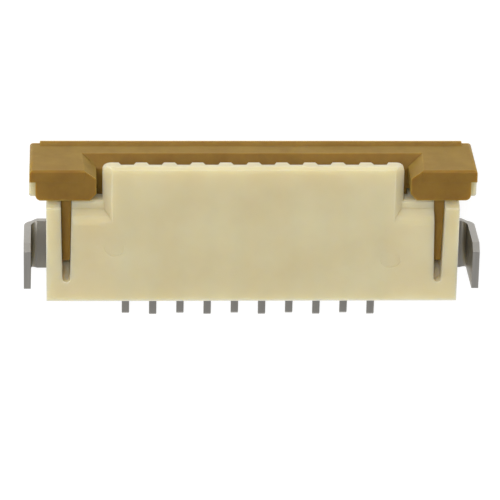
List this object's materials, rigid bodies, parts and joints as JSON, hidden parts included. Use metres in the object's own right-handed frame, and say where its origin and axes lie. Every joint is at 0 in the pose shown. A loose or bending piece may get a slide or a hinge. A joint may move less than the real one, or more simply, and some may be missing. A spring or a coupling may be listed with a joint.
{
  "type": "fpc connector",
  "caption": "Right-angle surface-mount connector for a flat flex cable: pale housing, brown slider that clamps the flex, forked contacts, side fitting nails.",
  "frame": {"origin": "on the board plane, midway along the contact row and midway between the housing's rear wall and the front edge of its roof", "axes": "+Z away from the board, X along the contact row, -Y the side the flex enters, +Y the solder tails; slider shut at rest"},
  "size_m": [0.0164, 0.0068, 0.0026],
  "materials": {
    "housing_nylon": "moulded natural nylon, fine matt",
    "slider_resin": "moulded brown resin, fine matt",
    "tinned_contact": "matt tin plate over copper alloy",
    "tinned_nail": "matt tin plate over copper alloy, sheared edges"
  },
  "bodies": {
    "housing": {"housing": "housing_nylon", "nail_left": "tinned_nail", "nail_right": "tinned_nail", "contact_01": "tinned_contact", "contact_02": "tinned_contact", "contact_03": "tinned_contact", "contact_04": "tinned_contact", "contact_05": "tinned_contact", "contact_06": "tinned_contact", "contact_07": "tinned_contact", "contact_08": "tinned_contact", "contact_09": "tinned_contact", "contact_10": "tinned_contact"},
    "slider": {"slider": "slider_resin"}
  },
  "joints": [
    {"name": "slider_slide", "type": "slide", "parent": "housing", "child": "slider", "axis": [0, -1, 0], "range_m": [0, 0.0012]}
  ]
}
